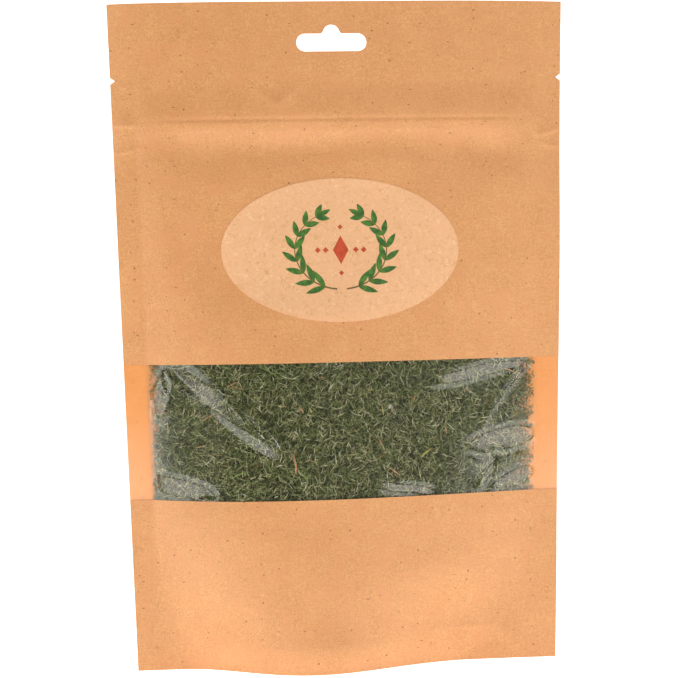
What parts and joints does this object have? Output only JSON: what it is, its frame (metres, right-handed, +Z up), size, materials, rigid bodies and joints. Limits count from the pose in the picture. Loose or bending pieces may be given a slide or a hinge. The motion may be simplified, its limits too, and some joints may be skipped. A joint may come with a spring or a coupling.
{
  "type": "window stand-up pouch of dried dill",
  "caption": "Kraft paper stand-up pouch with a hang slot, tear notches, an oval sticker and a clear window band, filled with dried chopped dill.",
  "frame": {"origin": "on the floor under the middle of the standing pouch", "axes": "+Z up along the pouch's height, the front with the window and the sticker faces -Y, +X across the width to the viewer's right of the front"},
  "size_m": [0.2, 0.053, 0.29],
  "materials": {
    "kraft_front_upper": "matt kraft paper laminate",
    "kraft_front_lower": "matt kraft paper laminate",
    "kraft_back": "matt kraft paper laminate",
    "kraft_gusset": "matt kraft paper laminate",
    "clear_film": "clear glossy film",
    "sticker_paper": "printed sticker paper with short fibres",
    "zip_front": "translucent extruded plastic",
    "zip_back": "translucent extruded plastic",
    "dried_dill": "dry chopped leaf, matt"
  },
  "bodies": {
    "root": {"front_upper_panel": "kraft_front_upper", "front_lower_panel": "kraft_front_lower", "back_panel": "kraft_back", "bottom_gusset": "kraft_gusset", "window_film": "clear_film", "label_oval": "sticker_paper", "zip_strip_front": "zip_front", "zip_strip_back": "zip_back", "dill_fill": "dried_dill"}
  },
  "joints": []
}
